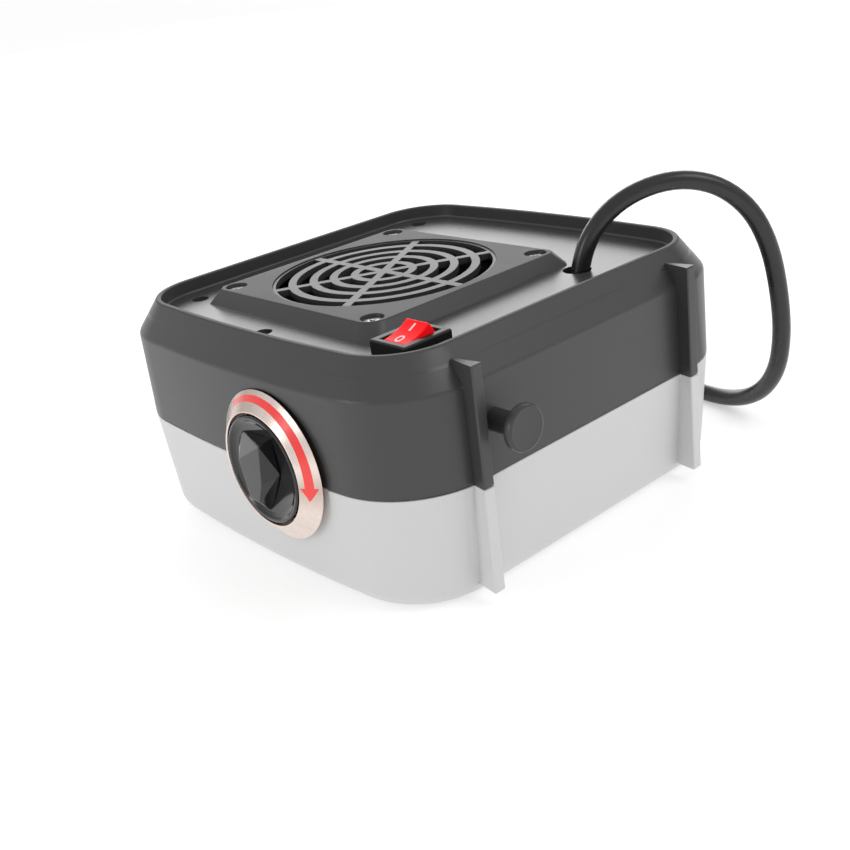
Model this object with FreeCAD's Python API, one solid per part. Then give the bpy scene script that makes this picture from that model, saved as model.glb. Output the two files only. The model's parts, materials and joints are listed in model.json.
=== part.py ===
"""Compact hot plate burner, resting on its glass face with the fan side up.

Frame: +Z up, millimetres, origin at the centre of the face it rests on.
-Y is the side with the control knob, +X the side with the cord peg.
"""
import FreeCAD, Part
import math
import os

V = FreeCAD.Vector
X_AXIS, Y_AXIS, Z_AXIS = V(1, 0, 0), V(0, 1, 0), V(0, 0, 1)

# ---- driving dimensions of the case ----
HALF_WIDTH = 86.5        # case half width at the split line
HALF_LENGTH = 91.0       # case half length at the split line, at mid bow
BOW_RADIUS = 685.0       # bow of the front and back faces, in plan
CORNER_RADIUS = 33.0     # vertical corners, in plan
WALL = 2.6
EDGE_RADIUS = 0.6        # soft moulded edges
SHOULDER_RADIUS = 3.0
SPLIT_Z = 43.2           # joint line between the two shells
SPLIT_GAP = 0.4          # shadow gap at the joint line
SHOULDER_Z = 76.9        # bottom of the big chamfer
RIM_Z = 88.9             # top of the rim
FLOOR_Z = 83.2           # recessed floor inside the rim
FLOOR_THICK = 2.6
SHOULDER_INSET = 0.2
RIM_INSET = 9.2
RIM_WIDTH = 1.8
LOWER_EDGE_Z = 0.8       # lower shell ends just above the glass face
LOWER_INSET = 3.6        # draft of the lower shell
LOWER_EDGE_RADIUS = 6.5
GLASS_INSET = 13.0
GLASS_THICK = 4.0
SEAT_INSET = 21.0        # inner edge of the flange that the glass seats on

# ---- fan ----
FAN_X, FAN_Y = -6.2, -9.1
FAN_SIZE = 92.0
FAN_DEPTH = 25.4
FAN_SCREW_PITCH = 82.5
PLATFORM_TOP_Z = 88.7
PLATFORM_TOP_HALF = 46.8
PLATFORM_BASE_HALF = 51.2
PLATFORM_SKIN = 2.2
FAN_OPENING_R = 43.5
GRILLE_RINGS = (0.82, 0.63, 0.45, 0.26)   # mid radii, as parts of the opening
GRILLE_BAR = 3.2
GRILLE_DEPTH = 2.6
SCREW_RECESS_R = 4.3
SCREW_SEAT_Z = 85.6         # fan screw heads sit this high, in their recesses
FAN_TOP_Z = 80.2          # the fan hangs just under the floor

# ---- control knob ----
KNOB_X, KNOB_Z = 21.2, 46.0
DISC_R = 27.4
DISC_INNER_R = 20.4
DISC_PROUD = 5.0         # the cone's inner lip stands this far off the wall
KNOB_R = 19.6
KNOB_ANGLE = 22.0        # rest position of the grip, left of vertical
SHAFT_R = 3.0
RUNNING_GAP = 0.05       # radial clearance of shafts and pins

# ---- rocker switch ----
SWITCH_X, SWITCH_Y = 59.0, -54.6
BEZEL_W, BEZEL_L = 17.6, 21.0
ROCKER_HALF = 5.4
BEZEL_TOP_Z = 88.2
ROCKER_TILT = 20.0
ROCKER_PIVOT_Z = 85.0

# ---- side ribs and cord peg ----
RIB_Y = (-58.0, 50.6)
RIB_PROUD = 5.5
RIB_WIDTH = 4.6
RIB_TOP_Z = 85.0
RIB_BOTTOM_Z = 5.5
PEG_Y, PEG_Z = -47.7, 61.9
PEG_HEAD_R, PEG_HEAD_T = 7.9, 3.0
PEG_NECK_R = 3.9
PEG_REACH = 14.0         # head face to wall

# ---- power cord ----
CORD_D = 7.0
HOLE_X, HOLE_Y, HOLE_R = 52.2, 35.6, 5.4
CORD_ROUTE = [           # points of the free stretch, hand laid
    (51.8, 34.6, 68.0), (52.7, 35.8, 83.6), (56.4, 41.2, 98.4), (63.5, 51.5, 108.2),
    (73.6, 65.8, 112.0), (83.2, 79.2, 108.0), (91.0, 89.8, 96.6), (95.2, 95.8, 80.8),
    (96.8, 99.2, 62.4), (96.2, 102.4, 43.6), (91.4, 106.2, 25.2), (79.8, 111.0, 11.0),
    (62.6, 115.4, 3.6), (42.6, 117.6, 3.6), (22.0, 117.0, 3.6), (1.4, 114.4, 3.6),
    (-18.6, 109.8, 3.6), (-39.6, 105.8, 3.6),
]
COIL_X, COIL_Y = -62.0, 146.0
COIL_MEAN_R = 38.0
PLUG_X, PLUG_TAIL_Y, PLUG_Z = -100.0, 134.0, 34.4
COIL_ROWS, COIL_LAYERS = 2, 3

NODES = {}


def keep(name, shape):
    """Put a finished piece on the list of nodes."""
    NODES[name] = shape.removeSplitter() if shape.Volume > 0 else shape


def box(x0, x1, y0, y1, z0, z1):
    return Part.makeBox(x1 - x0, y1 - y0, z1 - z0, V(x0, y0, z0))


def rod(x, y, z, radius, length, axis=Z_AXIS):
    return Part.makeCylinder(radius, length, V(x, y, z), axis)


def fuse(first, *rest):
    for shape in rest:
        first = first.fuse(shape)
    return first


def group(shapes):
    return Part.makeCompound(list(shapes))


def case_outline(inset, z):
    """Rounded rectangle with bowed front and back, as one closed wire."""
    half_x, half_y = HALF_WIDTH - inset, HALF_LENGTH - inset
    bow, corner = BOW_RADIUS - inset, CORNER_RADIUS - inset
    corner_x = half_x - corner
    corner_y = half_y - bow + math.sqrt((bow - corner) ** 2 - corner_x ** 2)
    lean = math.asin(corner_x / (bow - corner))      # where the bow meets the corner
    touch_x, touch_y = bow * math.sin(lean), half_y - bow + bow * math.cos(lean)
    mid = (math.pi / 2 - lean) / 2                   # half way round the corner
    round_x, round_y = corner_x + corner * math.cos(mid), corner_y + corner * math.sin(mid)

    def p(x, y):
        return V(x, y, z)
    edges = []
    for sx, sy in ((1, 1), (-1, -1)):
        edges += [
            Part.LineSegment(p(sx * half_x, -sy * corner_y), p(sx * half_x, sy * corner_y)).toShape(),
            Part.Arc(p(sx * half_x, sy * corner_y), p(sx * round_x, sy * round_y),
                     p(sx * touch_x, sy * touch_y)).toShape(),
            Part.Arc(p(sx * touch_x, sy * touch_y), p(0, sy * half_y),
                     p(-sx * touch_x, sy * touch_y)).toShape(),
            Part.Arc(p(-sx * touch_x, sy * touch_y), p(-sx * round_x, sy * round_y),
                     p(-sx * half_x, sy * corner_y)).toShape(),
        ]
    return Part.Wire(edges)


def case_block(inset_low, z_low, inset_high, z_high):
    """Solid between two case outlines."""
    if abs(inset_low - inset_high) < 1e-6:
        return Part.Face(case_outline(inset_low, z_low)).extrude(V(0, 0, z_high - z_low))
    wires = [case_outline(inset_low, z_low), case_outline(inset_high, z_high)]
    return Part.makeLoft(wires, True, True)


def platform_wire(half, z, corner=7.0, cut=3.0):
    """Square with three cut corners and one rounded one, nearest the switch."""
    x0, x1, y0, y1 = FAN_X - half, FAN_X + half, FAN_Y - half, FAN_Y + half
    soft = corner * (1 - math.sqrt(0.5))

    def line(a, b):
        return Part.LineSegment(V(*a, z), V(*b, z)).toShape()
    return Part.Wire([
        line((x0 + cut, y0), (x1 - corner, y0)),
        Part.Arc(V(x1 - corner, y0, z), V(x1 - soft, y0 + soft, z), V(x1, y0 + corner, z)).toShape(),
        line((x1, y0 + corner), (x1, y1 - cut)),
        line((x1, y1 - cut), (x1 - cut, y1)),
        line((x1 - cut, y1), (x0 + cut, y1)),
        line((x0 + cut, y1), (x0, y1 - cut)),
        line((x0, y1 - cut), (x0, y0 + cut)),
        line((x0, y0 + cut), (x0 + cut, y0)),
    ])


def edges_at(shape, z):
    """Edges that lie flat at one height."""
    return [e for e in shape.Edges if abs(e.BoundBox.ZMin - z) < 0.01 and abs(e.BoundBox.ZMax - z) < 0.01]


def fan_corners():
    half = FAN_SCREW_PITCH / 2
    return [(FAN_X + sx * half, FAN_Y + sy * half) for sx in (-1, 1) for sy in (-1, 1)]


def rib(y, z0, z1):
    """Dovetail bar whose sides close to a point inside the case."""
    outer = HALF_WIDTH + RIB_PROUD
    inner = HALF_WIDTH - RIB_PROUD
    half = RIB_WIDTH / 2
    points = [V(inner, y - 0.4, z0), V(outer, y - half, z0), V(outer, y + half, z0), V(inner, y + 0.4, z0)]
    bar = Part.Face(Part.makePolygon(points + points[:1])).extrude(V(0, 0, z1 - z0))
    return bar.makeFillet(EDGE_RADIUS, [e for e in bar.Edges if e.BoundBox.XMin > outer - 0.01])


# ---- case shells ----
CASE_SCREWS = [(-3.4, -70.0), (-64.0, -58.0), (-64.0, 62.0), (30.0, 70.0)]
BOSS_R = 4.2


def upper_shell():
    wall_top = SHOULDER_Z - 1.0
    outer = fuse(case_block(0, SPLIT_Z + SPLIT_GAP, SHOULDER_INSET, SHOULDER_Z),
                 case_block(SHOULDER_INSET, SHOULDER_Z, RIM_INSET, RIM_Z)).removeSplitter()
    outer = outer.makeFillet(SHOULDER_RADIUS, edges_at(outer, SHOULDER_Z))
    pocket = case_block(RIM_INSET + RIM_WIDTH, FLOOR_Z, RIM_INSET + RIM_WIDTH, RIM_Z + 1)
    pocket = pocket.makeFillet(1.0, edges_at(pocket, FLOOR_Z))
    outer = outer.cut(pocket)
    outer = outer.makeFillet(EDGE_RADIUS, edges_at(outer, RIM_Z) + edges_at(outer, SPLIT_Z + SPLIT_GAP))
    inside = fuse(case_block(WALL, SPLIT_Z, WALL + SHOULDER_INSET, wall_top),
                  case_block(WALL + SHOULDER_INSET, wall_top, WALL + 5.0, FLOOR_Z - FLOOR_THICK))
    shell = outer.cut(inside)
    platform = Part.makeLoft([platform_wire(PLATFORM_BASE_HALF, FLOOR_Z - 0.5),
                              platform_wire(PLATFORM_TOP_HALF, PLATFORM_TOP_Z)], True, True)
    platform = platform.makeFillet(EDGE_RADIUS, edges_at(platform, PLATFORM_TOP_Z))
    roof_z = PLATFORM_TOP_Z - PLATFORM_SKIN
    hollow = Part.makeLoft([platform_wire(PLATFORM_BASE_HALF - 2.6, FLOOR_Z - FLOOR_THICK - 1),
                            platform_wire(PLATFORM_TOP_HALF - 2.0, roof_z)], True, True)
    shell = shell.fuse(platform).cut(hollow)
    shell = shell.cut(rod(FAN_X, FAN_Y, roof_z - 1, FAN_OPENING_R, 10))
    throat = rod(FAN_X, FAN_Y, FAN_TOP_Z - 1, FAN_OPENING_R, 20)
    for x, y in fan_corners():
        pillar = rod(x, y, FAN_TOP_Z, SCREW_RECESS_R + 1.0, roof_z - FAN_TOP_Z + 0.5)
        shell = shell.fuse(pillar.cut(throat).common(fuse(hollow, platform)))
        shell = shell.cut(rod(x, y, SCREW_SEAT_Z, SCREW_RECESS_R, 8))
        shell = shell.cut(rod(x, y, FAN_TOP_Z - 1, 2.2, 10))
    for y in RIB_Y:
        bar = rib(y, SPLIT_Z + SPLIT_GAP, RIB_TOP_Z)
        shell = shell.fuse(bar.cut(inside).cut(pocket))
    shell = shell.cut(rod(HOLE_X, HOLE_Y, FLOOR_Z - 5, HOLE_R, 6))
    cut_x, cut_y = BEZEL_W / 2 - 1.1, BEZEL_L / 2 - 1.1
    shell = shell.cut(box(SWITCH_X - cut_x, SWITCH_X + cut_x, SWITCH_Y - cut_y, SWITCH_Y + cut_y,
                          FLOOR_Z - 5, FLOOR_Z + 0.1))
    for x, y in CASE_SCREWS:
        boss = rod(x, y, SPLIT_Z + 0.6, BOSS_R, FLOOR_Z - SPLIT_Z - 1.6)
        shell = shell.fuse(boss).cut(rod(x, y, SPLIT_Z, 1.8, 50)).cut(rod(x, y, FLOOR_Z - 5, 3.4, 6))
    shell = shell.cut(rod(HALF_WIDTH - 8, PEG_Y, PEG_Z, 2.1, 12, X_AXIS))
    return shell.cut(knob_pocket())


def lower_shell():
    body = case_block(LOWER_INSET, LOWER_EDGE_Z, 0, SPLIT_Z)
    body = body.makeFillet(LOWER_EDGE_RADIUS, edges_at(body, LOWER_EDGE_Z))
    body = body.makeFillet(EDGE_RADIUS / 2, edges_at(body, SPLIT_Z))
    inside = fuse(case_block(LOWER_INSET + WALL + 4, 8.2, LOWER_INSET + WALL, 14.0),
                  case_block(LOWER_INSET + WALL, 14.0, WALL, SPLIT_Z + 1))
    window = case_block(SEAT_INSET, 0, SEAT_INSET, 12)
    rebate = case_block(GLASS_INSET - 0.4, 0, GLASS_INSET - 0.4, GLASS_THICK + 1.2)
    shell = body.cut(inside).cut(window).cut(rebate)
    for y in RIB_Y:
        bar = rib(y, RIB_BOTTOM_Z, SPLIT_Z)
        shell = shell.fuse(bar.cut(inside))
    for x, y in CASE_SCREWS:
        post = rod(x, y, 8.0, BOSS_R, SPLIT_Z - 7.8).cut(window)
        if post.Volume > 1:
            shell = shell.fuse(post)
        shell = shell.cut(rod(x, y, 16, 1.3, 40))
    return shell.cut(knob_pocket())


def knob_pocket():
    """Round seat that the dial plate drops into, across both shells."""
    seat = rod(KNOB_X, -HALF_LENGTH - 3, KNOB_Z, DISC_R + 0.15, 5.2, Y_AXIS)
    hole = rod(KNOB_X, -HALF_LENGTH - 3, KNOB_Z, 9.0, 12, Y_AXIS)
    return seat.fuse(hole)


DISC_BACK_Y = -HALF_LENGTH + 2.2


def case_screws():
    screws = []
    for x, y in CASE_SCREWS:
        head = rod(x, y, FLOOR_Z - 4.9, 3.1, 2.4)
        shank = rod(x, y, 22, 1.25, FLOOR_Z - 26)
        slot = cross_slot(x, y, FLOOR_Z - 2.5, 3.4)
        screws.append(head.fuse(shank).cut(slot))
    return group(screws)


def cross_slot(x, y, top_z, size):
    half, thin = size / 2, 0.45
    return fuse(box(x - half, x + half, y - thin, y + thin, top_z - 1.1, top_z + 0.1),
                box(x - thin, x + thin, y - half, y + half, top_z - 1.1, top_z + 0.1))


# ---- hot plate and what heats it ----
ELEMENT_R = 55.0


def glass_plate():
    plate = case_block(GLASS_INSET, 0, GLASS_INSET, GLASS_THICK)
    edges = [e for e in plate.Edges if e.BoundBox.ZMax < 0.01]
    return plate.makeChamfer(0.7, edges)


def plate_seal():
    ring = case_block(GLASS_INSET + 0.4, GLASS_THICK, GLASS_INSET + 0.4, GLASS_THICK + 1.2)
    return ring.cut(case_block(SEAT_INSET, 3, SEAT_INSET, 7))


def insulation_pan():
    pan = rod(0, 0, 5.0, ELEMENT_R + 5, 13)
    return pan.cut(rod(0, 0, 4, ELEMENT_R + 2, 9.5))


def heating_element():
    """Flat ribbon wound as concentric turns joined by one bridge."""
    turns = [rod(0, 0, 8.6, r + 1.4, 3.2).cut(rod(0, 0, 8, r - 1.4, 5)) for r in range(12, 53, 8)]
    bridge = box(12, 52, -1.4, 1.4, 8.6, 11.8)
    return fuse(bridge, *turns)


def heat_limiter():
    """Rod thermostat: a thin tube right across, between the element and the glass."""
    return rod(-56.0, 0, 6.6, 1.4, 108.0, X_AXIS)


def heat_shield():
    """Flat aluminium sheet with a turned-up edge at front and back."""
    half_x, half_y, low = 58.0, 56.0, 22.0
    sheet = box(-half_x, half_x, -half_y, half_y, low, low + 1.2)
    for y in (-half_y, half_y - 1.2):
        sheet = sheet.fuse(box(-half_x, half_x, y, y + 1.2, low, low + 6))
    return sheet


SHIELD_POSTS = [(-54, -50), (-54, 50), (54, -50), (54, 50)]


def shield_posts():
    """Ceramic spacers between the glass seat and the heat shield."""
    return group(rod(x, y, 8.2, 3.2, 13.8) for x, y in SHIELD_POSTS)


# ---- electronics ----
BOARD_Z = 32.0
BOARD_THICK = 1.6
BOARD_HOLES = [(-48, -34), (-48, 46), (40, -34), (40, 46)]


def board_standoffs():
    return group(rod(x, y, 23.2, 3.0, BOARD_Z - 23.2) for x, y in BOARD_HOLES)


def circuit_board():
    board = box(-54, 46, -40, 52, BOARD_Z, BOARD_Z + BOARD_THICK)
    for x, y in BOARD_HOLES:
        board = board.cut(rod(x, y, BOARD_Z - 1, 1.7, 5))
    return board


def board_screws():
    top = BOARD_Z + BOARD_THICK
    return group(rod(x, y, top, 2.8, 1.9).fuse(rod(x, y, BOARD_Z, 1.5, 2.0)) for x, y in BOARD_HOLES)


def heat_sink():
    base = box(-42, 4, -20, 26, BOARD_Z + BOARD_THICK + 0.2, BOARD_Z + 5.6)
    fins = [box(x, x + 1.4, -20, 26, BOARD_Z + 5.6, BOARD_Z + 22) for x in range(-42, 4, 5)]
    return fuse(base, *fins)


def power_parts():
    """Capacitor, choke and relay standing on the board."""
    top = BOARD_Z + BOARD_THICK
    can = rod(20, -12, top, 7.5, 20)
    choke = rod(22, 14, top, 10, 9).cut(rod(22, 14, top - 1, 4, 12))
    relay = box(12, 31, 30, 45, top, top + 15)
    return group([can, choke, relay])


# ---- fan ----
def fan_frame():
    top = FAN_TOP_Z
    low = top - FAN_DEPTH
    half = FAN_SIZE / 2
    frame = box(FAN_X - half, FAN_X + half, FAN_Y - half, FAN_Y + half, low, top)
    vertical = [e for e in frame.Edges if abs(e.BoundBox.ZLength - FAN_DEPTH) < 0.01]
    frame = frame.makeFillet(4.5, vertical).cut(rod(FAN_X, FAN_Y, low - 1, 44.0, FAN_DEPTH + 2))
    for x, y in fan_corners():
        waist = rod(x, y, low + 4.2, 7.5, FAN_DEPTH - 8.4).cut(rod(FAN_X, FAN_Y, low, 45.6, FAN_DEPTH))
        frame = frame.cut(waist).cut(rod(x, y, low - 1, 2.15, FAN_DEPTH + 2))
    hub = rod(FAN_X, FAN_Y, low, 16.0, 3.0)
    post = rod(FAN_X, FAN_Y, low, 4.0, 16.0).cut(rod(FAN_X, FAN_Y, low + 3, 1.5 + RUNNING_GAP, 20))
    arms = []
    for angle in (45, 135, 225, 315):
        arm = box(14, 45, -2, 2, low, low + 2.8)
        arm.rotate(V(0, 0, 0), Z_AXIS, angle)
        arm.translate(V(FAN_X, FAN_Y, 0))
        arms.append(arm)
    return fuse(frame, hub, post, *arms)


def fan_rotor():
    """Seven-blade rotor; its shaft turns in the frame's centre post."""
    top = FAN_TOP_Z - 1.6
    low = top - 17.0
    cup = rod(0, 0, low, 17.0, 17.0).cut(rod(0, 0, low - 1, 15.0, 16.0))
    shaft = rod(0, 0, low - 1.5, 1.5, 18.0)
    rotor = cup.fuse(shaft)
    for number in range(7):
        blade = curved_blade(low + 1.5, top - 1.0)
        blade.rotate(V(0, 0, 0), Z_AXIS, number * 360.0 / 7)
        rotor = rotor.fuse(blade)
    rotor.translate(V(FAN_X, FAN_Y, 0))
    return rotor


def curved_blade(low, top):
    """One pitched blade: a slanted slab trimmed to the ring it sweeps."""
    height = top - low
    slant = height / math.tan(math.radians(38))
    foot = Part.makePolygon([V(14.0, -slant / 2, low), V(14.0, -slant / 2 + 2.0, low),
                             V(14.0, slant / 2, top), V(14.0, slant / 2 - 2.0, top),
                             V(14.0, -slant / 2, low)])
    slab = Part.Face(foot).extrude(V(30, 0, 0))
    ring = rod(0, 0, low - 1, 42.4, height + 2).cut(rod(0, 0, low - 2, 16.2, height + 4))
    return slab.common(ring)


def fan_grille():
    """Press-in guard: rings on six arms, flush just under the platform top."""
    top = PLATFORM_TOP_Z - 0.5
    low = top - GRILLE_DEPTH
    guard = rod(FAN_X, FAN_Y, low, FAN_OPENING_R - 0.1, GRILLE_DEPTH)
    guard = guard.cut(rod(FAN_X, FAN_Y, low - 1, FAN_OPENING_R - 1.3, GRILLE_DEPTH + 2))
    half = GRILLE_BAR / 2
    for part in GRILLE_RINGS:
        radius = part * FAN_OPENING_R
        ring = rod(FAN_X, FAN_Y, low, radius + half, GRILLE_DEPTH)
        guard = guard.fuse(ring.cut(rod(FAN_X, FAN_Y, low - 1, radius - half, GRILLE_DEPTH + 2)))
    for angle in (0, 60, 120):
        arm = box(-FAN_OPENING_R + 0.8, FAN_OPENING_R - 0.8, -half, half, low, top)
        arm.rotate(V(0, 0, 0), Z_AXIS, angle)
        arm.translate(V(FAN_X, FAN_Y, 0))
        guard = guard.fuse(arm)
    return guard.fuse(rod(FAN_X, FAN_Y, low, 3.4, GRILLE_DEPTH))


def fan_screws():
    screws = []
    top = SCREW_SEAT_Z
    for x, y in fan_corners():
        head = rod(x, y, top, 3.9, 1.9)
        shank = rod(x, y, top - 26.0, 2.05, 26.0)
        screws.append(head.fuse(shank).cut(cross_slot(x, y, top + 1.9, 4.4)))
    return group(screws)


# ---- control knob group ----
def around_knob_axis(profile):
    """Solid of revolution about the knob axis; profile is (radius, distance out of the wall)."""
    points = [V(KNOB_X + r, -HALF_LENGTH - out, KNOB_Z) for r, out in profile]
    face = Part.Face(Part.makePolygon(points + points[:1]))
    return face.revolve(V(KNOB_X, 0, KNOB_Z), Y_AXIS, 360)


def dial_plate():
    """Spun metal ring: a shallow cone that rises to a thin lip round the knob."""
    return around_knob_axis([
        (DISC_R - 0.2, -2.0), (DISC_R, -1.6), (DISC_R, 0.9), (DISC_R - 0.5, 1.3),
        (DISC_INNER_R + 0.8, DISC_PROUD), (DISC_INNER_R, DISC_PROUD), (DISC_INNER_R, -0.4),
        (SHAFT_R + 1.6, -0.4), (SHAFT_R + 1.6, -2.0),
    ])


def control_knob():
    """Dished round knob with a boat-shaped grip cut in flat facets."""
    dish = around_knob_axis([
        (0, 0.4), (KNOB_R, 0.4), (KNOB_R, DISC_PROUD - 0.4), (KNOB_R - 0.8, DISC_PROUD + 0.2),
        (KNOB_R - 3.0, DISC_PROUD - 0.9), (0, DISC_PROUD - 2.0),
    ])
    grip = grip_bar()
    knob = dish.fuse(grip)
    socket = rod(KNOB_X, -HALF_LENGTH + 1, KNOB_Z, SHAFT_R, 7.0, V(0, -1, 0))
    return knob.cut(socket)


def grip_bar():
    """Four-sided boat between a long base diamond and a narrower, shorter crest."""
    base_y = -HALF_LENGTH - DISC_PROUD + 2.4
    crest_y = -HALF_LENGTH - DISC_PROUD - 6.2

    def diamond(half_long, half_wide, blunt, y):
        points = [(0, half_long), (half_wide, blunt), (half_wide * 0.85, -blunt), (0, -half_long),
                  (-half_wide * 0.85, -blunt), (-half_wide, blunt)]
        corners = [V(x, y, z) for x, z in points]
        return Part.makePolygon(corners + corners[:1])
    grip = Part.makeLoft([diamond(17.0, 8.2, 3.0, base_y), diamond(11.5, 3.0, 1.5, crest_y)], True, True)
    grip.rotate(V(0, 0, 0), Y_AXIS, -KNOB_ANGLE)
    grip.translate(V(KNOB_X, 0, KNOB_Z))
    return grip


def control_shaft():
    """Turned shaft pressed in the knob; it ends inside the power control."""
    return rod(KNOB_X, -HALF_LENGTH - 6.0, KNOB_Z, SHAFT_R, 21.2, Y_AXIS)


CONTROL_Y = -HALF_LENGTH + 9.5


def power_control():
    """Rotary control: threaded bush and a round can behind the wall bracket."""
    bush = rod(KNOB_X, DISC_BACK_Y + 2.6, KNOB_Z, 4.6, CONTROL_Y - DISC_BACK_Y - 2.0, Y_AXIS)
    can = rod(KNOB_X, CONTROL_Y, KNOB_Z, 11.5, 9.0, Y_AXIS)
    tabs = [box(KNOB_X + dx - 1, KNOB_X + dx + 1, CONTROL_Y + 3, CONTROL_Y + 4, KNOB_Z - 17, KNOB_Z - 10)
            for dx in (-5, 0, 5)]
    bore = rod(KNOB_X, DISC_BACK_Y, KNOB_Z, SHAFT_R + RUNNING_GAP, 13.5, Y_AXIS)
    return fuse(bush, can, *tabs).cut(bore)


def control_bracket():
    """Bent steel strip that holds the power control to the lower shell."""
    plate = box(KNOB_X - 15, KNOB_X + 15, CONTROL_Y - 1.4, CONTROL_Y, 24.0, KNOB_Z + 14)
    foot = box(KNOB_X - 15, KNOB_X + 15, CONTROL_Y, CONTROL_Y + 12, 24.0, 25.4)
    return plate.fuse(foot).cut(rod(KNOB_X, CONTROL_Y - 3, KNOB_Z, 4.6, 6, Y_AXIS))


def control_nut():
    nut = Part.Face(Part.makePolygon([
        V(KNOB_X + 7.0 * math.cos(math.radians(a)), CONTROL_Y - 3.4, KNOB_Z + 7.0 * math.sin(math.radians(a)))
        for a in range(0, 361, 60)])).extrude(V(0, 2.0, 0))
    return nut.cut(rod(KNOB_X, CONTROL_Y - 5, KNOB_Z, 4.6, 6, Y_AXIS))


# ---- rocker switch group ----
def switch_body():
    """Black bezel on a box that snaps through the floor."""
    half_w, half_l = BEZEL_W / 2, BEZEL_L / 2
    bezel = box(SWITCH_X - half_w, SWITCH_X + half_w, SWITCH_Y - half_l, SWITCH_Y + half_l,
                FLOOR_Z, BEZEL_TOP_Z)
    edges = [e for e in bezel.Edges if e.BoundBox.ZMin > FLOOR_Z + 0.1 or e.BoundBox.ZLength > 4]
    bezel = bezel.makeFillet(0.8, edges)
    half_body, half_well, pin_reach = half_w - 1.3, ROCKER_HALF + 0.4, ROCKER_HALF + 1.3
    body = box(SWITCH_X - half_body, SWITCH_X + half_body, SWITCH_Y - 9.3, SWITCH_Y + 9.3,
               FLOOR_Z - 15, FLOOR_Z + 1)
    well = box(SWITCH_X - half_well, SWITCH_X + half_well, SWITCH_Y - 8.1, SWITCH_Y + 8.1,
               FLOOR_Z - 7.5, BEZEL_TOP_Z + 1)
    pin_hole = rod(SWITCH_X - pin_reach, SWITCH_Y, ROCKER_PIVOT_Z, 1.2 + RUNNING_GAP, 2 * pin_reach, X_AXIS)
    return bezel.fuse(body).cut(well).cut(pin_hole)


def switch_rocker():
    """Concave two-facet rocker, stored pressed at its -Y end."""
    profile = [(0, 4.1), (5.9, 4.9), (6.9, 0.2), (4.2, -3.0), (-4.2, -3.0), (-6.9, 0.2), (-5.9, 4.9)]
    points = [V(-ROCKER_HALF, s, t) for s, t in profile]
    rocker = Part.Face(Part.makePolygon(points + points[:1])).extrude(V(2 * ROCKER_HALF, 0, 0))
    pin_end = ROCKER_HALF + 1.1
    rocker = rocker.fuse(rod(-pin_end, 0, 0, 1.2, 2 * pin_end, X_AXIS))
    rocker.rotate(V(0, 0, 0), X_AXIS, ROCKER_TILT)
    rocker.translate(V(SWITCH_X, SWITCH_Y, ROCKER_PIVOT_Z))
    return rocker


def switch_tabs():
    return group(box(SWITCH_X - 2.4, SWITCH_X + 2.4, SWITCH_Y + dy - 0.4, SWITCH_Y + dy + 0.4,
                     FLOOR_Z - 24, FLOOR_Z - 15) for dy in (-5.5, 5.5))


# ---- cord peg ----
def cord_peg():
    face_x = HALF_WIDTH + PEG_REACH
    head = rod(face_x - PEG_HEAD_T, PEG_Y, PEG_Z, PEG_HEAD_R, PEG_HEAD_T, X_AXIS)
    head = head.makeFillet(0.9, [e for e in head.Edges if e.Length > 40])
    neck = rod(HALF_WIDTH - 0.1, PEG_Y, PEG_Z, PEG_NECK_R, PEG_REACH - PEG_HEAD_T + 0.2, X_AXIS)
    peg = head.fuse(neck)
    return peg.cut(rod(HALF_WIDTH - 1, PEG_Y, PEG_Z, 1.5, 9, X_AXIS))


def peg_screw():
    shank = rod(HALF_WIDTH - 4, PEG_Y, PEG_Z, 1.5, 10.5, X_AXIS)
    return shank.fuse(rod(HALF_WIDTH - 5.2, PEG_Y, PEG_Z, 3.0, 2.2, X_AXIS))


# ---- cord hardware ----
def cord_clamp():
    """Saddle that grips the cord under its hole, hung from the floor."""
    block = box(HOLE_X - 8, HOLE_X + 8, HOLE_Y - 8, HOLE_Y + 8, 68.0, 76.0)
    start, lean = V(*CORD_ROUTE[0]), V(*CORD_ROUTE[1]) - V(*CORD_ROUTE[0])
    block = block.cut(Part.makeCylinder(CORD_D / 2 + 0.2, 40, start - lean, lean))
    legs = [box(HOLE_X + s * 7 - 1, HOLE_X + s * 7 + 1, HOLE_Y - 3, HOLE_Y + 3, 76.0, FLOOR_Z - FLOOR_THICK)
            for s in (-1, 1)]
    return fuse(block, *legs)


def inner_leads():
    """Short insulated leads from the clamp and the switch down to the board."""
    drop = BOARD_Z + BOARD_THICK
    first = rod(HOLE_X - 2.0, HOLE_Y, 56.0, 1.3, 11.4)
    second = rod(HOLE_X + 2.0, HOLE_Y, 56.0, 1.3, 11.4)
    hot = rod(44.5, 48.0, drop, 1.3, 20)
    return group([first, second, hot])


# ---- free cord ----
def tangent_path(points):
    """Straight runs joined by tangent arcs, as one wire; prints the radii."""
    points = [V(*p) for p in points]
    edges, here, radii = [], points[0], []
    for before, corner, after in zip(points, points[1:], points[2:]):
        arrive, leave = corner - before, after - corner
        turn = arrive.getAngle(leave)
        reach = 0.45 * min(arrive.Length, leave.Length)
        radii.append(reach / math.tan(turn / 2))
        arrive.normalize()
        leave.normalize()
        start, end = corner - arrive * reach, corner + leave * reach
        bisector = leave - arrive
        bisector.normalize()
        sagitta = radii[-1] * (1 / math.cos(turn / 2) - 1)
        edges.append(Part.LineSegment(here, start).toShape())
        edges.append(Part.Arc(start, corner + bisector * sagitta, end).toShape())
        here = end
    edges.append(Part.LineSegment(here, points[-1]).toShape())
    print("cord bend radii, mm:", " ".join("%.0f" % r for r in radii))
    return Part.Wire(edges)


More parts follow.
